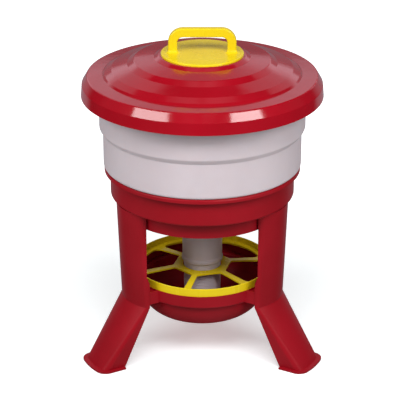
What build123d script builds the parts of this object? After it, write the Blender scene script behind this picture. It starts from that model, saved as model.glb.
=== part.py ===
from build123d import *
from math import cos, radians, tan
import os

# Gravity poultry feeder: a lidded hopper on a three-legged stand, feeding a grilled pan.
# Millimetres. The origin is on the floor below the hopper's axis, +Z up, the front at -Y.

# Driving dimensions
WALL = 2.6  # hopper and lid mouldings
STAND_WALL = 3.0  # collar, columns, pan and legs
FIT_GAP = 0.3  # between mouldings that plug together
THREAD_GAP = 0.1  # flow sleeve in the neck
PILOT_GAP = 0.05  # screws in their pilot holes
PILOT_SPARE = 1.0  # depth of a pilot hole past its screw's point
LEG_ANGLES = {"front_left": 210, "front_right": 330, "rear": 90}

# Collar and hopper heights
SEAT_Z = 353.0  # collar lip, where the hopper's shoulder rests
LIP_R = 176.3
LIP_DEPTH = 8.0
BAND_R = 165.8
BAND_Z = 297.7  # lower edge of the collar's wide band
RING_R = 145.2
RING_Z = 266.5  # lower edge of the narrow ring
RING_TAPER = 1.0

HOPPER_RIM_Z = 516.0
HOPPER_RIM_R = 192.0
HOPPER_RIM_DEPTH = 8.0  # how far the rolled rim hangs down
HOPPER_TOP_R = 184.0
HOPPER_R = 177.6
HOPPER_STEP_Z = 419.0
HOPPER_STEP = 9.0  # height of the slope between the two diameters
HOPPER_INSET_R = 161.0  # the part that hangs inside the collar
FUNNEL_TOP_Z = 317.0
NECK_TOP_Z = 229.0
NECK_R = 36.5
NECK_Z = 164.5
NECK_LIP_R = 37.8
NECK_LIP = 5.0  # height of the thicker lip at the neck's mouth
NECK_FLARE = 4.0  # height of the slope into that lip
NECK_BORE_R = NECK_R - WALL

# Flow sleeve
SLEEVE_R = NECK_BORE_R - THREAD_GAP
SLEEVE_BORE_R = 31.2
SLEEVE_Z = 92.0
SLEEVE_TOP_Z = 206.0
THREAD_PITCH = 3.0
THREAD_DEPTH = 0.8
THREAD_COUNT = 36

# Feed pan
PAN_RIM_R = 127.5
PAN_RIM_Z = 144.5
PAN_BORE_R = PAN_RIM_R - STAND_WALL
PAN_STEP_Z = 121.0
BOWL_R = 117.0
BOWL_Z = 67.0
BOWL_CORNER_R = 50.0
BOWL_TAPER = 1.0
CONE_R = 29.0
CONE_Z = 88.0
CONE_TIP_R = 8.0
CONE_BEND_R = 6.0

# Grill
GRILL_R = 126.3
GRILL_TOP_Z = 159.0
GRILL_WALL = 2.6
GRILL_DECK_Z = 148.0  # top of the flat ring inside the rim
GRILL_HUB_Z = 153.5
GRILL_HUB_R = 50.0
GRILL_HUB_BORE_R = 35.4
GRILL_HOLE_R = 113.0
SPOKE_HUB_WIDTH = 10.0
SPOKE_RIM_WIDTH = 14.0
SPOKE_COUNT = 6
SPOKE_START_ANGLE = 15.0
DECK_THICKNESS = 3.0
WINDOW_INNER = 49.0  # straight inner edge of a window, from the axis
WINDOW_INNER_CORNER_R = 7.0
WINDOW_OUTER_CORNER_R = 11.0
GRILL_SKIRT = 5.0  # depth of the locating skirt inside the pan

# Columns: outlines taper from the collar to the leg sockets
COLUMN_HALF_WIDTH = 48.0
COLUMN_ARC_R = 85.0
COLUMN_CORNER_R = 9.0
COLUMN_TOP_FACE = 164.9
COLUMN_BACK = 141.5
SOCKET_FACE = 157.0
SOCKET_BACK = 136.0
SOCKET_Z = 115.0
SOCKET_TOP_Z = 161.0
SOCKET_SLOPE_Z = 176.0
WEB_Z = 142.0

# Legs
FOOT_FACE = 231.0
FOOT_BACK = 184.0
FOOT_HALF_WIDTH = 37.0
FOOT_ARC_R = 150.0
FOOT_CORNER_R = 14.0
SOLE_LIP = 6.0
SOLE_THICKNESS = 3.5
LEG_PLATE_Z = 136.0  # underside of the plate that closes the spigot
LEG_PLATE = 3.0
SPIGOT_WALL = 2.5
OPEN_SIDE = 5.0  # how far the hollow runs past the open side

# Leg screws
LUG_HALF_WIDTH = 24.0
EAR_END = SOCKET_BACK - FIT_GAP
LUG_THICKNESS = 3.0
LUG_END = 149.5
LUG_CORNER_R = 6.0
SCREW_AT = 143.0
LEG_SCREW_R = 1.85
LEG_SCREW_HOLE_R = 2.3
LEG_SCREW_TOP_Z = 155.0
LEG_SCREW_HEAD_R = 5.2
LEG_SCREW_HEAD_H = 3.4
BOSS_R = 5.0
BOSS_TOP_Z = 158.0

# Lid
LID_R = 215.0
LID_EDGE_Z = 485.0
LID_TOP_Z = 557.8
LID_STEPS = (
    (77.0, 557.8),
    (85.0, 553.2),
    (120.5, 549.0),
    (132.0, 542.0),
    (160.0, 533.4),
    (172.0, 526.6),
    (176.0, 522.7),
)
LID_SHOULDER = (204.6, 521.4)
LID_CREASE = (213.3, 505.5)
LID_BEND_RADII = (4, 3, 3, 3, 3, 2, 2.5, 2, 2)
LID_SEAT_R = 188.0
LID_RIB_R = 178.5
LID_RIB_Z = 500.0
LID_RIB = 2.0

# Handle
DISC_R = 73.3
DISC_THICKNESS = 3.6
HANDLE_TOP_Z = 605.5
BAIL_HALF_SPAN = 60.0
BAIL_WIDTH = 16.0
BAIL_DEPTH = 14.0
BAIL_BEND_R = 18.0
BAIL_EDGE_R = 2.5
BAIL_ROOT_R = 6.5
HANDLE_BOSS_R = 6.0
HANDLE_BOSS_DEPTH = 2.4  # how far the bosses drop through the lid
HANDLE_SCREW_R = 1.75
HANDLE_SCREW_TOP_Z = 575.0
HANDLE_SCREW_HEAD_R = 4.5
HANDLE_SCREW_HEAD_H = 3.0
WASHER_R = 9.0
WASHER_HOLE_R = 2.0
WASHER_THICKNESS = 1.2

os.makedirs("parts", exist_ok=True)


def shell(points, radii, thickness):
    """Add a turned shell whose middle line runs through the points with rounded corners."""
    with BuildSketch(Plane.XZ) as section:
        with BuildLine():
            FilletPolyline(*points, radius=radii)
        trace(line_width=thickness)
    revolve(section.sketch, axis=Axis.Z)


def tube(outer_r, inner_r, low, high, mode=Mode.ADD):
    """Add a plain ring between two heights."""
    with BuildSketch(Plane.XY.offset(low)) as ring:
        Circle(outer_r)
        Circle(inner_r, mode=Mode.SUBTRACT)
    extrude(ring.sketch, amount=high - low, mode=mode)


def channel_outline(face, arc_r, half_width, corner_r, back):
    """Add the D-shaped outline of a column or leg, its flat side facing the stand's axis."""
    with Locations((face - arc_r, 0)):
        Circle(arc_r)
    with Locations(((face + back) / 2, 0)):
        Rectangle(face - back, 2 * half_width, mode=Mode.INTERSECT)
    fillet(vertices().sort_by(Axis.X)[-2:], corner_r)


def column_outline(z, inset=0.0, back=SOCKET_BACK):
    """Add a column's outline at height z, drawn in by inset."""
    rise = (z - SOCKET_Z) / (BAND_Z - SOCKET_Z)
    face = SOCKET_FACE + rise * (COLUMN_TOP_FACE - SOCKET_FACE) - inset
    half_width = COLUMN_HALF_WIDTH - inset
    channel_outline(face, COLUMN_ARC_R - inset, half_width, COLUMN_CORNER_R - inset, back)


def leg_outline(z, inset=0.0, back_cut=0.0):
    """Add a leg's outline at height z, drawn in by inset; back_cut opens the rear side."""
    drop = (SOCKET_Z - z) / SOCKET_Z
    face = SOCKET_FACE + drop * (FOOT_FACE - SOCKET_FACE) - inset
    back = SOCKET_BACK + drop * (FOOT_BACK - SOCKET_BACK) - back_cut
    half_width = COLUMN_HALF_WIDTH + drop * (FOOT_HALF_WIDTH - COLUMN_HALF_WIDTH) - inset
    corner_r = COLUMN_CORNER_R + drop * (FOOT_CORNER_R - COLUMN_CORNER_R) - inset
    arc_r = COLUMN_ARC_R + drop * (FOOT_ARC_R - COLUMN_ARC_R) - inset
    channel_outline(face, arc_r, half_width, corner_r, back)


def radial_plane(angle):
    """The upright plane through the axis whose x runs outward at the angle."""
    return Plane.XZ.rotated((0, 0, angle))


def screw(top, head_low, shank_r, head_r, head_h):
    """Add a cross-headed screw standing point up at the current locations."""
    with BuildSketch(Plane.XY.offset(head_low)) as head:
        Circle(head_r)
    extrude(head.sketch, amount=head_h)
    fillet(faces().sort_by(Axis.Z)[0].edges(), head_h / 3)
    with BuildSketch(Plane.XY.offset(head_low + head_h)) as shank:
        Circle(shank_r)
    extrude(shank.sketch, amount=top - head_low - head_h)
    chamfer(faces().sort_by(Axis.Z)[-1].edges(), shank_r / 2)
    with BuildSketch(Plane.XY.offset(head_low)) as recess:
        Rectangle(head_r * 1.1, head_r * 0.24)
        Rectangle(head_r * 0.24, head_r * 1.1)
    extrude(recess.sketch, amount=head_h / 2, mode=Mode.SUBTRACT)


# Lid
with BuildPart() as lid:
    half_wall = WALL / 2
    with BuildSketch(Plane.XZ):
        with BuildLine():
            FilletPolyline(
                (0, LID_TOP_Z - half_wall),
                *[(r, z - half_wall) for r, z in LID_STEPS],
                (LID_SHOULDER[0] - half_wall, LID_SHOULDER[1] - half_wall),
                (LID_CREASE[0] - half_wall, LID_CREASE[1]),
                (LID_R - half_wall, LID_EDGE_Z),
                radius=LID_BEND_RADII,
            )
        trace(line_width=WALL)
    revolve(axis=Axis.Z)
    # Locating rib inside the hopper's mouth, and the ring that sits on its rim
    tube(LID_RIB_R, LID_RIB_R - LID_RIB, LID_RIB_Z, LID_STEPS[-1][1] - half_wall)
    tube(LID_SEAT_R, LID_SEAT_R - LID_RIB, HOPPER_RIM_Z, LID_SHOULDER[1] - half_wall)
    with BuildSketch(Plane.XY.offset(LID_TOP_Z)):
        with GridLocations(2 * BAIL_HALF_SPAN - BAIL_WIDTH, 0, 2, 1):
            Circle(HANDLE_BOSS_R + FIT_GAP)
    extrude(amount=-2 * WALL, mode=Mode.SUBTRACT)
lid.part.label = "lid"

# Handle: a round disc with an upright bail
with BuildPart() as lid_handle:
    with BuildSketch(Plane.XY.offset(LID_TOP_Z)):
        Circle(DISC_R)
    extrude(amount=DISC_THICKNESS)
    fillet(edges().group_by(Axis.Z)[-1], DISC_THICKNESS * 0.6)
    foot_x = BAIL_HALF_SPAN - BAIL_WIDTH / 2
    foot_z = LID_TOP_Z + DISC_THICKNESS / 2
    bar_z = HANDLE_TOP_Z - BAIL_WIDTH / 2
    with BuildLine(Plane.XZ) as bail_path:
        FilletPolyline(
            (-foot_x, foot_z),
            (-foot_x, bar_z),
            (foot_x, bar_z),
            (foot_x, foot_z),
            radius=BAIL_BEND_R,
        )
    with BuildSketch(Plane.XY.offset(foot_z)):
        with Locations((-foot_x, 0)):
            RectangleRounded(BAIL_WIDTH, BAIL_DEPTH, BAIL_EDGE_R)
    sweep(path=bail_path.line)
    # Flared roots where the bail grows out of the disc
    disc_top = faces().filter_by(Axis.Z).filter_by(lambda face: face.inner_wires()).sort_by(Axis.Z)[-1]
    for root in disc_top.inner_wires():
        fillet(root.edges(), BAIL_ROOT_R)
    with BuildSketch(Plane.XY.offset(LID_TOP_Z)):
        with GridLocations(2 * foot_x, 0, 2, 1):
            Circle(HANDLE_BOSS_R)
    extrude(amount=-HANDLE_BOSS_DEPTH)
    with BuildSketch(Plane.XY.offset(LID_TOP_Z - WALL)):
        with GridLocations(2 * foot_x, 0, 2, 1):
            Circle(HANDLE_SCREW_R + PILOT_GAP)
    extrude(amount=HANDLE_SCREW_TOP_Z + PILOT_SPARE - LID_TOP_Z + WALL, mode=Mode.SUBTRACT)
lid_handle.part.label = "lid_handle"

# Handle screws and their washers, inside the lid
HANDLE_SEAT_Z = LID_TOP_Z - WALL
with BuildPart() as handle_screw:
    screw(
        HANDLE_SCREW_TOP_Z,
        HANDLE_SEAT_Z - WASHER_THICKNESS - HANDLE_SCREW_HEAD_H,
        HANDLE_SCREW_R,
        HANDLE_SCREW_HEAD_R,
        HANDLE_SCREW_HEAD_H,
    )
with BuildPart() as handle_screws:
    with Locations((-foot_x, 0, 0), (foot_x, 0, 0)):
        add(handle_screw.part)
handle_screws.part.label = "handle_screws"

with BuildPart() as handle_washers:
    with BuildSketch(Plane.XY.offset(HANDLE_SEAT_Z - WASHER_THICKNESS)):
        with GridLocations(2 * foot_x, 0, 2, 1):
            Circle(WASHER_R)
            Circle(WASHER_HOLE_R, mode=Mode.SUBTRACT)
    extrude(amount=WASHER_THICKNESS)
handle_washers.part.label = "handle_washers"

# Hopper: stepped tub, shoulder on the collar, funnel and outlet neck
with BuildPart() as hopper:
    shell(
        (
            (HOPPER_RIM_R - WALL / 2, HOPPER_RIM_Z - HOPPER_RIM_DEPTH),
            (HOPPER_RIM_R - WALL / 2, HOPPER_RIM_Z - WALL / 2),
            (HOPPER_TOP_R - WALL / 2, HOPPER_RIM_Z - WALL / 2),
            (HOPPER_TOP_R - WALL / 2, HOPPER_STEP_Z + HOPPER_STEP),
            (HOPPER_R - WALL / 2, HOPPER_STEP_Z),
            (HOPPER_R - WALL / 2, SEAT_Z + WALL / 2),
            (HOPPER_INSET_R - WALL / 2, SEAT_Z + WALL / 2),
            (HOPPER_INSET_R - WALL / 2, FUNNEL_TOP_Z),
            (NECK_R - WALL / 2, NECK_TOP_Z),
            (NECK_R - WALL / 2, NECK_Z + NECK_LIP + NECK_FLARE),
            (NECK_LIP_R - WALL / 2, NECK_Z + NECK_LIP),
            (NECK_LIP_R - WALL / 2, NECK_Z),
        ),
        (2, 2, 4, 4, 4, 3, 10, 14, 3, 3),
        WALL,
    )
    fillet(faces().sort_by(Axis.Z)[0].edges(), WALL * 0.4)
hopper.part.label = "hopper"

# Flow sleeve: screws up and down in the neck to set the gap over the pan floor
with BuildPart() as flow_sleeve:
    with BuildSketch(Plane.XZ):
        with BuildLine():
            root_r = SLEEVE_R - THREAD_DEPTH
            first_z = SLEEVE_Z + THREAD_PITCH
            thread = [(SLEEVE_BORE_R, SLEEVE_TOP_Z), (SLEEVE_BORE_R, SLEEVE_Z), (root_r, SLEEVE_Z)]
            for turn in range(THREAD_COUNT):
                z = first_z + turn * THREAD_PITCH
                thread.append((root_r, z))
                thread.append((SLEEVE_R, z + THREAD_PITCH * 0.3))
                thread.append((SLEEVE_R, z + THREAD_PITCH * 0.5))
                thread.append((root_r, z + THREAD_PITCH * 0.8))
            thread.append((root_r, SLEEVE_TOP_Z))
            Polyline(*thread, close=True)
        make_face()
    revolve(axis=Axis.Z)
flow_sleeve.part.label = "flow_sleeve"

# Stand frame: three channel-shaped columns under a stepped collar
with BuildPart() as stand_frame:
    for angle in LEG_ANGLES.values():
        base = Plane.XY.rotated((0, 0, angle))
        with BuildSketch(base.offset(SOCKET_Z)):
            column_outline(SOCKET_Z)
        with BuildSketch(base.offset(BAND_Z)):
            column_outline(BAND_Z)
        loft(ruled=True)
        with BuildSketch(base.offset(SOCKET_Z)):
            column_outline(SOCKET_Z, STAND_WALL, SOCKET_BACK - OPEN_SIDE)
        with BuildSketch(base.offset(BAND_Z)):
            column_outline(BAND_Z, STAND_WALL, SOCKET_BACK - OPEN_SIDE)
        loft(ruled=True, mode=Mode.SUBTRACT)
        # The side walls are shallower above the leg socket
        with BuildSketch(radial_plane(angle)):
            with BuildLine():
                back_edge = FilletPolyline(
                    (SOCKET_BACK - OPEN_SIDE, SOCKET_TOP_Z),
                    (SOCKET_BACK, SOCKET_TOP_Z),
                    (COLUMN_BACK, SOCKET_SLOPE_Z),
                    (COLUMN_BACK, BAND_Z + STAND_WALL),
                    radius=(2, 12),
                )
                Polyline(back_edge @ 1, (SOCKET_BACK - OPEN_SIDE, BAND_Z + STAND_WALL), back_edge @ 0)
            make_face()
        extrude(amount=COLUMN_HALF_WIDTH + STAND_WALL, both=True, mode=Mode.SUBTRACT)
        # Web over the leg socket, with a boss for the screw
        with BuildSketch(base.offset(WEB_Z)):
            column_outline(WEB_Z, STAND_WALL / 2)
        extrude(amount=STAND_WALL)
        with BuildSketch(base.offset(WEB_Z)):
            with Locations((SCREW_AT, 0)):
                Circle(BOSS_R)
        extrude(amount=BOSS_TOP_Z - WEB_Z)
        with BuildSketch(base.offset(WEB_Z)):
            with Locations((SCREW_AT, 0)):
                Circle(LEG_SCREW_R + PILOT_GAP)
        extrude(amount=LEG_SCREW_TOP_Z + PILOT_SPARE - WEB_Z, mode=Mode.SUBTRACT)
    half_wall = STAND_WALL / 2
    shell(
        (
            (LIP_R - half_wall, SEAT_Z - LIP_DEPTH),
            (LIP_R - half_wall, SEAT_Z - half_wall),
            (BAND_R - half_wall, SEAT_Z - half_wall),
            (BAND_R - half_wall, BAND_Z + half_wall),
            (RING_R - half_wall, BAND_Z + half_wall),
            (RING_R - half_wall - RING_TAPER, RING_Z),
        ),
        (2, 2, 3, 2),
        STAND_WALL,
    )
stand_frame.part.label = "stand_frame"

# Feed pan: a shallow rim over a round bowl, a spreader cone, and a lug for each column
with BuildPart() as feed_pan:
    shell(
        (
            (PAN_RIM_R - half_wall, PAN_RIM_Z),
            (PAN_RIM_R - half_wall, PAN_STEP_Z + half_wall),
            (BOWL_R - half_wall, PAN_STEP_Z + half_wall),
            (BOWL_R - half_wall - BOWL_TAPER, BOWL_Z + half_wall),
            (CONE_R, BOWL_Z + half_wall),
            (CONE_TIP_R, CONE_Z - half_wall),
            (0, CONE_Z - half_wall),
        ),
        (2, 3, BOWL_CORNER_R, CONE_BEND_R, CONE_BEND_R),
        STAND_WALL,
    )
    lug_z = WEB_Z - LUG_THICKNESS
    for angle in LEG_ANGLES.values():
        base = Plane.XY.rotated((0, 0, angle))
        with BuildSketch(base.offset(lug_z)):
            with Locations((LUG_END / 2, 0)):
                Rectangle(LUG_END, 2 * LUG_HALF_WIDTH)
            fillet(vertices().sort_by(Axis.X)[-2:], LUG_CORNER_R)
            Circle(PAN_RIM_R - half_wall, mode=Mode.SUBTRACT)
            with Locations((SCREW_AT, 0)):
                Circle(LEG_SCREW_HOLE_R, mode=Mode.SUBTRACT)
        extrude(amount=LUG_THICKNESS)
        # Cheeks that carry the rim's band over to the column's sides
        with BuildSketch(base.offset(PAN_STEP_Z)):
            with Locations((EAR_END / 2, 0)):
                Rectangle(EAR_END, 2 * COLUMN_HALF_WIDTH)
                Rectangle(EAR_END, 2 * (COLUMN_HALF_WIDTH - STAND_WALL), mode=Mode.SUBTRACT)
            Circle(PAN_RIM_R - half_wall, mode=Mode.SUBTRACT)
        extrude(amount=PAN_RIM_Z - PAN_STEP_Z)
        with BuildSketch(base.offset(lug_z)):
            with Locations((EAR_END / 2, 0)):
                Rectangle(EAR_END, 2 * COLUMN_HALF_WIDTH)
            Circle(PAN_RIM_R - half_wall, mode=Mode.SUBTRACT)
        extrude(amount=LUG_THICKNESS)
feed_pan.part.label = "feed_pan"

# Grill: a deep rim, a dished wheel of spokes and a hub ring round the neck
with BuildPart() as grill:
    deck_low = GRILL_DECK_Z - DECK_THICKNESS
    with BuildSketch(Plane.XZ):
        with BuildLine():
            Polyline(
                (GRILL_HUB_BORE_R, GRILL_HUB_Z),
                (GRILL_HUB_R, GRILL_HUB_Z),
                (GRILL_HOLE_R, GRILL_DECK_Z),
                (GRILL_R - GRILL_WALL, GRILL_DECK_Z),
                (GRILL_R - GRILL_WALL, GRILL_TOP_Z),
                (GRILL_R, GRILL_TOP_Z),
                (GRILL_R, PAN_RIM_Z),
                (PAN_BORE_R - FIT_GAP, PAN_RIM_Z),
                (PAN_BORE_R - FIT_GAP, PAN_RIM_Z - GRILL_SKIRT),
                (PAN_BORE_R - FIT_GAP - GRILL_WALL, PAN_RIM_Z - GRILL_SKIRT),
                (PAN_BORE_R - FIT_GAP - GRILL_WALL, deck_low),
                (GRILL_HOLE_R, deck_low),
                (GRILL_HUB_R, GRILL_HUB_Z - DECK_THICKNESS),
                (GRILL_HUB_BORE_R, GRILL_HUB_Z - DECK_THICKNESS),
                close=True,
            )
        make_face()
        top_corners = vertices().group_by(Axis.Y)[-1]
        fillet(top_corners, GRILL_WALL * 0.35)
    revolve(axis=Axis.Z)
    # Windows between the spokes, straight along the hub and round along the rim
    half_angle = radians(180 / SPOKE_COUNT)
    window_outline = []
    for reach, width in ((WINDOW_INNER, SPOKE_HUB_WIDTH), (GRILL_R, SPOKE_RIM_WIDTH)):
        window_outline.append((reach, reach * tan(half_angle) - width / 2 / cos(half_angle)))
    for x, y in reversed(tuple(window_outline)):
        window_outline.append((x, -y))
    for window in range(SPOKE_COUNT):
        middle = SPOKE_START_ANGLE + (window + 0.5) * 360 / SPOKE_COUNT
        with BuildSketch(Plane.XY.rotated((0, 0, middle)).offset(deck_low - DECK_THICKNESS)):
            Polygon(*window_outline, align=None)
            Circle(GRILL_HOLE_R, mode=Mode.INTERSECT)
            fillet(vertices().sort_by(Axis.X)[-2:], WINDOW_OUTER_CORNER_R)
            fillet(vertices().sort_by(Axis.X)[:2], WINDOW_INNER_CORNER_R)
        extrude(amount=GRILL_TOP_Z - deck_low, mode=Mode.SUBTRACT)
grill.part.label = "grill"


def leg(angle):
    """Add one splayed, open-backed leg with its sole and the spigot that plugs into a column."""
    base = Plane.XY.rotated((0, 0, angle))
    spigot_face = SOCKET_FACE - STAND_WALL - FIT_GAP
    spigot_arc_r = COLUMN_ARC_R - STAND_WALL - FIT_GAP
    spigot_half_width = COLUMN_HALF_WIDTH - STAND_WALL - FIT_GAP
    spigot_corner_r = COLUMN_CORNER_R - STAND_WALL
    with BuildSketch(base) as foot:
        leg_outline(0)
    with BuildSketch(base.offset(SOCKET_Z)) as shoulder:
        leg_outline(SOCKET_Z)
    loft([foot.sketch, shoulder.sketch], ruled=True)
    with BuildSketch(base.offset(SOCKET_Z)) as spigot:
        channel_outline(
            spigot_face, spigot_arc_r, spigot_half_width, spigot_corner_r, SOCKET_BACK
        )
    extrude(spigot.sketch, amount=LEG_PLATE_Z + LEG_PLATE - SOCKET_Z)
    # Hollow, open towards the stand's axis
    with BuildSketch(base.offset(SOLE_THICKNESS)) as hollow_low:
        leg_outline(SOLE_THICKNESS, STAND_WALL, OPEN_SIDE)
    with BuildSketch(base.offset(SOCKET_Z)) as hollow_high:
        channel_outline(
            spigot_face - SPIGOT_WALL,
            spigot_arc_r - SPIGOT_WALL,
            spigot_half_width - SPIGOT_WALL,
            spigot_corner_r - SPIGOT_WALL,
            SOCKET_BACK - OPEN_SIDE,
        )
    loft([hollow_low.sketch, hollow_high.sketch], ruled=True, mode=Mode.SUBTRACT)
    extrude(hollow_high.sketch, amount=LEG_PLATE_Z - SOCKET_Z, mode=Mode.SUBTRACT)
    # Sole with a lip round its three outer sides
    with BuildSketch(base) as sole:
        leg_outline(0, -SOLE_LIP)
    extrude(sole.sketch, amount=SOLE_THICKNESS)
    with BuildSketch(base.offset(LEG_PLATE_Z)) as hole:
        with Locations((SCREW_AT, 0)):
            Circle(LEG_SCREW_HOLE_R)
    extrude(hole.sketch, amount=LEG_PLATE, mode=Mode.SUBTRACT)


with BuildPart() as leg_front_left:
    leg(LEG_ANGLES["front_left"])
leg_front_left.part.label = "leg_front_left"

with BuildPart() as leg_front_right:
    leg(LEG_ANGLES["front_right"])
leg_front_right.part.label = "leg_front_right"

with BuildPart() as leg_rear:
    leg(LEG_ANGLES["rear"])
leg_rear.part.label = "leg_rear"

# Leg screws: up through the leg's plate and the pan's lug into the column's boss
with BuildPart() as leg_screw:
    screw(
        LEG_SCREW_TOP_Z,
        LEG_PLATE_Z - LEG_SCREW_HEAD_H,
        LEG_SCREW_R,
        LEG_SCREW_HEAD_R,
        LEG_SCREW_HEAD_H,
    )
with BuildPart() as leg_screws:
    with PolarLocations(SCREW_AT, len(LEG_ANGLES), start_angle=LEG_ANGLES["rear"]):
        add(leg_screw.part)
leg_screws.part.label = "leg_screws"

for piece in (
    lid,
    lid_handle,
    handle_screws,
    handle_washers,
    hopper,
    flow_sleeve,
    stand_frame,
    feed_pan,
    grill,
    leg_front_left,
    leg_front_right,
    leg_rear,
    leg_screws,
):
    export_step(piece.part, f"parts/{piece.part.label}.step")
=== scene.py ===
import math

import bpy
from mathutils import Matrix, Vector

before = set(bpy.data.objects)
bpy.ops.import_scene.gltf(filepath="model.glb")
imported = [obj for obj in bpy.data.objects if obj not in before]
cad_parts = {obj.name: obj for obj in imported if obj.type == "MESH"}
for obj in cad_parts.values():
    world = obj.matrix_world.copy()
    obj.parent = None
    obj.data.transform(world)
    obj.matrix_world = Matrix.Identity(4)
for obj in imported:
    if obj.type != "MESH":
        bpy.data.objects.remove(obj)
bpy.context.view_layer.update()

# Gravity poultry feeder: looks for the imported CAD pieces, a pale floor, soft studio light and the camera.
# Metres. The feeder stands on z = 0 and its front faces -Y.

LEVEL = (1, 1, 0)


class Nodes:
    """A node tree under construction; its methods take and give sockets."""

    def __init__(self, tree):
        self.tree = tree

    def node(self, kind, **settings):
        made = self.tree.nodes.new(kind)
        for key, value in settings.items():
            setattr(made, key, value)
        return made

    def link(self, source, target):
        self.tree.links.new(source, target)

    def feed(self, value, target):
        """Link a socket to the target, or give the target a plain value."""
        if isinstance(value, bpy.types.NodeSocket):
            self.link(value, target)
        else:
            target.default_value = value

    def math(self, operation, *values):
        made = self.node("ShaderNodeMath", operation=operation)
        for value, target in zip(values, made.inputs):
            self.feed(value, target)
        return made.outputs["Value"]

    def vector_math(self, operation, vector, second=None):
        """The vector node itself, because its result is a vector or a number."""
        made = self.node("ShaderNodeVectorMath", operation=operation)
        self.link(vector, made.inputs[0])
        if second is not None:
            made.inputs[1].default_value = second
        return made

    def part(self, vector, axis):
        """One part of a vector: X, Y or Z."""
        parts = self.node("ShaderNodeSeparateXYZ")
        self.link(vector, parts.inputs["Vector"])
        return parts.outputs[axis]

    def remap(self, value, low, high, to_low=0.0, to_high=1.0, curve="SMOOTHSTEP"):
        """Map low..high to to_low..to_high, clamped."""
        made = self.node("ShaderNodeMapRange", interpolation_type=curve)
        made.inputs["From Min"].default_value = low
        made.inputs["From Max"].default_value = high
        made.inputs["To Min"].default_value = to_low
        made.inputs["To Max"].default_value = to_high
        self.link(value, made.inputs["Value"])
        return made.outputs["Result"]


class Material(Nodes):
    """A material under construction; every texture runs in the feeder's own coordinates."""

    def __init__(self, name):
        self.data = bpy.data.materials.new(name)
        self.data.use_nodes = True
        super().__init__(self.data.node_tree)
        self.shader = self.tree.nodes["Principled BSDF"]
        self.position = self.node("ShaderNodeTexCoord").outputs["Object"]

    def set(self, **values):
        """Set plain values on the shader's own sockets; underscores stand for spaces."""
        for key, value in values.items():
            self.shader.inputs[key.replace("_", " ")].default_value = value

    def noise(self, scale, detail, roughness, stretch=(1, 1, 1)):
        """A noise value from 0 to 1; a small stretch value draws it out along that axis."""
        mapping = self.node("ShaderNodeMapping")
        mapping.inputs["Scale"].default_value = stretch
        self.link(self.position, mapping.inputs["Vector"])
        noise = self.node("ShaderNodeTexNoise")
        noise.inputs["Scale"].default_value = scale
        noise.inputs["Detail"].default_value = detail
        noise.inputs["Roughness"].default_value = roughness
        self.link(mapping.outputs["Vector"], noise.inputs["Vector"])
        return noise.outputs["Fac"]

    def mix(self, factor, a, b):
        """Mix two colours, each a socket or a plain colour."""
        made = self.node("ShaderNodeMix", data_type="RGBA")
        self.link(factor, made.inputs["Factor"])
        for colour, target in ((a, made.inputs["A"]), (b, made.inputs["B"])):
            self.feed((*colour, 1.0) if isinstance(colour, tuple) else colour, target)
        return made.outputs["Result"]

    def radius(self):
        """Distance from the feeder's axis."""
        flat = self.vector_math("MULTIPLY", self.position, LEVEL)
        return self.vector_math("LENGTH", flat.outputs["Vector"]).outputs["Value"]

    def bump(self, *layers):
        """Chain bump layers, each (value socket, strength, distance)."""
        previous = None
        for value, strength, distance in layers:
            made = self.node("ShaderNodeBump")
            made.inputs["Strength"].default_value = strength
            made.inputs["Distance"].default_value = distance
            self.link(value, made.inputs["Height"])
            if previous is not None:
                self.link(previous, made.inputs["Normal"])
            previous = made.outputs["Normal"]
        self.link(previous, self.shader.inputs["Normal"])


def moulded(name, light, dark, scuff, roughness, specular, peel=0.12):
    """Injection-moulded plastic: cloudy colour, orange peel, fine scuffs and uneven gloss."""
    m = Material(name)
    m.set(IOR=1.5, Specular_IOR_Level=specular)
    cloud = m.noise(9.0, 4.0, 0.55)
    grain = m.noise(900.0, 2.0, 0.5)
    flow = m.noise(24.0, 3.0, 0.6, (1, 1, 0.15))
    orange_peel = m.noise(420.0, 2.0, 0.45)
    ripple = m.noise(60.0, 2.0, 0.4)
    scratches = m.noise(140.0, 5.0, 0.75, (1, 0.06, 1))

    colour = m.mix(m.remap(cloud, 0.3, 0.7), dark, light)
    marks = m.remap(scratches, 0.66, 0.8, 0.0, 0.35)
    colour = m.mix(marks, colour, scuff)
    colour = m.mix(m.remap(grain, 0.62, 0.85, 0.0, 0.18), colour, scuff)
    m.link(colour, m.shader.inputs["Base Color"])

    gloss = m.remap(flow, 0.25, 0.75, roughness - 0.04, roughness + 0.05)
    gloss = m.math("ADD", gloss, m.math("MULTIPLY", marks, 0.4))
    m.link(gloss, m.shader.inputs["Roughness"])
    m.bump((orange_peel, peel, 0.0006), (ripple, 0.10, 0.0012), (scratches, 0.05, 0.0004))
    return m


def zinc(name):
    """Bright zinc plating with a fine crystal pattern."""
    m = Material(name)
    m.set(Metallic=1.0)
    spangle = m.noise(1400.0, 3.0, 0.6)
    colour = m.mix(m.remap(spangle, 0.3, 0.7), (0.50, 0.51, 0.53), (0.64, 0.65, 0.67))
    m.link(colour, m.shader.inputs["Base Color"])
    m.link(m.remap(spangle, 0.3, 0.7, 0.28, 0.42), m.shader.inputs["Roughness"])
    m.bump((spangle, 0.2, 0.0002))
    return m


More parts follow.
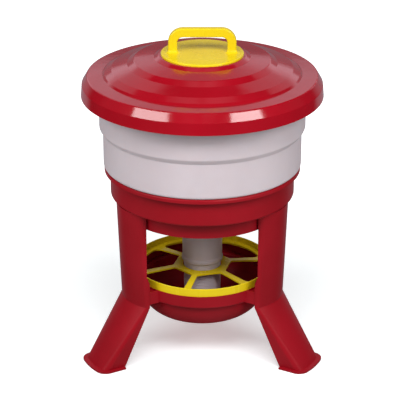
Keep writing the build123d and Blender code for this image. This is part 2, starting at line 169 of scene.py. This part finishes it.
lid_red = moulded(
    "lid_red",
    light=(0.36, 0.0038, 0.0125),
    dark=(0.325, 0.0032, 0.0100),
    scuff=(0.46, 0.05, 0.06),
    roughness=0.10,
    specular=0.85,
    peel=0.04,
)
stand_red = moulded(
    "stand_red",
    light=(0.33, 0.0045, 0.0125),
    dark=(0.285, 0.0035, 0.0095),
    scuff=(0.42, 0.05, 0.06),
    roughness=0.40,
    specular=0.2,
)
yellow = moulded(
    "yellow_plastic",
    light=(0.80, 0.61, 0.010),
    dark=(0.74, 0.545, 0.007),
    scuff=(0.90, 0.76, 0.16),
    roughness=0.26,
    specular=0.3,
)
white = moulded(
    "white_plastic",
    light=(0.62, 0.545, 0.575),
    dark=(0.58, 0.505, 0.535),
    scuff=(0.70, 0.64, 0.66),
    roughness=0.42,
    specular=0.35,
    peel=0.2,
)
white.set(Subsurface_Weight=0.2, Subsurface_Scale=0.008, Subsurface_Radius=(1.0, 0.6, 0.5))
steel = zinc("zinc_steel")

LOOKS = {
    "lid": lid_red,
    "lid_handle": yellow,
    "handle_screws": steel,
    "handle_washers": steel,
    "hopper": white,
    "flow_sleeve": white,
    "stand_frame": stand_red,
    "feed_pan": stand_red,
    "grill": yellow,
    "leg_front_left": stand_red,
    "leg_front_right": stand_red,
    "leg_rear": stand_red,
    "leg_screws": steel,
}
for node, look in LOOKS.items():
    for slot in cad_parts[node].material_slots:
        slot.material = look.data

# Floor: white paper with a painted glow, weak round the feeder as painted shade and strong everywhere else,
# so it stays white to its far edge
FLOOR_SIZE = 60
SHADE_RADIUS = 0.2
BRIGHT_RADIUS = 0.9
PAINTED_SHADE_GLOW = 0.38
PAINTED_LIGHT_GLOW = 0.9

scene = bpy.context.scene
scene.view_settings.view_transform = "Standard"
scene.view_settings.look = "None"

bpy.ops.mesh.primitive_plane_add(size=FLOOR_SIZE)
floor = bpy.context.object
floor.name = "floor"
paper = Material("floor_paper_painted_glow")
fibres = paper.remap(paper.noise(40.0, 3.0, 0.5), 0.3, 0.7)
paper.link(
    paper.mix(fibres, (0.865, 0.92, 0.935), (0.885, 0.94, 0.95)),
    paper.shader.inputs["Base Color"],
)
paper.set(Roughness=0.9, Specular_IOR_Level=0.1, Emission_Color=(1.0, 1.0, 1.0, 1.0))
# The emission is painted light: a glow that grows with distance from the feeder, so the weaker glow round
# it paints a shade there
paper.link(
    paper.remap(paper.radius(), SHADE_RADIUS, BRIGHT_RADIUS, PAINTED_SHADE_GLOW, PAINTED_LIGHT_GLOW),
    paper.shader.inputs["Emission Strength"],
)
floor.data.materials.append(paper.data)
# The world below the horizon stands in for the paper's own bounce and reflection
floor.visible_glossy = False
floor.visible_diffuse = False

# World: the camera sees plain white, and diffuse surfaces a soft sky that is brighter below, off the paper.
# Glossy surfaces see a dark studio with a lit backdrop behind the feeder.
WHITE = (1.0, 1.0, 1.0, 1.0)
WHITE_GLOW = 1.08
SKY_GLOW = 0.28
BOUNCE_GLOW = 0.82
FULL_BOUNCE_RISE = 0.15
HORIZON_RISE = 0.5

# The backdrop's brightness by elevation in degrees
BACKDROP = (
    (-90, 0.02),
    (-32, 0.02),
    (-24, 0.30),
    (15, 0.26),
    (17, 0.95),
    (23, 0.92),
    (29, 0.44),
    (46, 0.36),
    (49, 0.02),
    (66, 0.02),
    (69, 0.22),
    (90, 0.26),
)
BACKDROP_TINT = (1.04, 0.95, 1.06)

# The backdrop fades between these Y parts of a level direction, to a little light in front
BACKDROP_EDGE = (0.60, 0.78)
FRONT_LEVEL = 0.06
# It is dimmer in the middle than at this X part of a level direction, and beyond
BACKDROP_SIDE = 0.35
MIDDLE_LEVEL = 0.6
SIDE_LEVEL = 1.15

world = bpy.data.worlds.new("studio")
scene.world = world
world.use_nodes = True
world.cycles.sampling_method = "NONE"
studio = Nodes(world.node_tree)
studio.tree.nodes.clear()
toward = studio.node("ShaderNodeTexCoord").outputs["Generated"]
# 0 straight down, 0.5 at the horizon, 1 straight up
rise = studio.remap(studio.part(toward, "Z"), -1, 1, curve="LINEAR")


def background(colour, strength):
    made = studio.node("ShaderNodeBackground")
    studio.feed(colour, made.inputs["Color"])
    studio.feed(strength, made.inputs["Strength"])
    return made.outputs["Background"]


def by_ray(kind, otherwise, seen):
    """Choose what rays of one kind see, and what all the others see."""
    made = studio.node("ShaderNodeMixShader")
    studio.link(rays.outputs[kind], made.inputs["Fac"])
    studio.link(otherwise, made.inputs[1])
    studio.link(seen, made.inputs[2])
    return made.outputs["Shader"]


sky_glow = studio.remap(rise, FULL_BOUNCE_RISE, HORIZON_RISE, BOUNCE_GLOW, SKY_GLOW)

ramp = studio.node("ShaderNodeValToRGB")
stops = ramp.color_ramp.elements
while len(stops) < len(BACKDROP):
    stops.new(0.5)
for stop, (elevation, glow) in zip(stops, BACKDROP):
    stop.position = (math.sin(math.radians(elevation)) + 1) / 2
    stop.color = (*(glow * tint for tint in BACKDROP_TINT), 1.0)
studio.link(rise, ramp.inputs["Fac"])

flat = studio.vector_math("MULTIPLY", toward, LEVEL)
bearing = studio.vector_math("NORMALIZE", flat.outputs["Vector"]).outputs["Vector"]
behind = studio.remap(studio.part(bearing, "Y"), *BACKDROP_EDGE, FRONT_LEVEL, 1.0)
aside = studio.math("ABSOLUTE", studio.part(bearing, "X"))
sides = studio.remap(aside, 0.0, BACKDROP_SIDE, MIDDLE_LEVEL, SIDE_LEVEL)
backdrop = background(ramp.outputs["Color"], studio.math("MULTIPLY", behind, sides))

rays = studio.node("ShaderNodeLightPath")
lighting = by_ray("Is Glossy Ray", otherwise=background(WHITE, sky_glow), seen=backdrop)
surroundings = by_ray("Is Camera Ray", otherwise=lighting, seen=background(WHITE, WHITE_GLOW))
studio.link(surroundings, studio.node("ShaderNodeOutputWorld").inputs["Surface"])

# Softboxes, all at one distance from a point a little above the feeder's middle
LIGHT_AIM = Vector((0, 0, 0.35))
LIGHT_DISTANCE = 2.2


def softbox(name, azimuth, elevation, width, height, power):
    """A rectangular area light aimed at the feeder; azimuth 0 is in front, growing to the right."""
    light = bpy.data.lights.new(name, "AREA")
    light.shape = "RECTANGLE"
    light.size = width
    light.size_y = height
    light.energy = power
    lamp = bpy.data.objects.new(name, light)
    scene.collection.objects.link(lamp)
    a = math.radians(azimuth)
    e = math.radians(elevation)
    away = Vector((math.sin(a) * math.cos(e), -math.cos(a) * math.cos(e), math.sin(e)))
    lamp.location = LIGHT_AIM + away * LIGHT_DISTANCE
    lamp.rotation_euler = (-away).to_track_quat("-Z", "Y").to_euler()
    return lamp


softbox("softbox_left", azimuth=-52, elevation=33, width=1.12, height=0.85, power=18.5)
softbox("softbox_right", azimuth=44.5, elevation=33, width=0.97, height=0.85, power=20)
front_fill = softbox("softbox_front", azimuth=0, elevation=50, width=1.2, height=0.8, power=25)
front_fill.visible_glossy = False

# Camera: straight in front, a little above the lid, with a long lens
CAMERA_PLACE = (0, -2.970, 1.540)
CAMERA_TILT = 66.99
CAMERA_SHIFT = -0.00575
SENSOR_WIDTH = 36.0
LENS_OVER_SENSOR = 4.437

camera_data = bpy.data.cameras.new("camera")
camera_data.sensor_width = SENSOR_WIDTH
camera_data.lens = LENS_OVER_SENSOR * SENSOR_WIDTH
camera_data.shift_x = CAMERA_SHIFT
camera_data.clip_end = 100
camera = bpy.data.objects.new("camera", camera_data)
camera.location = CAMERA_PLACE
camera.rotation_euler = (math.radians(CAMERA_TILT), 0, 0)
scene.collection.objects.link(camera)
scene.camera = camera
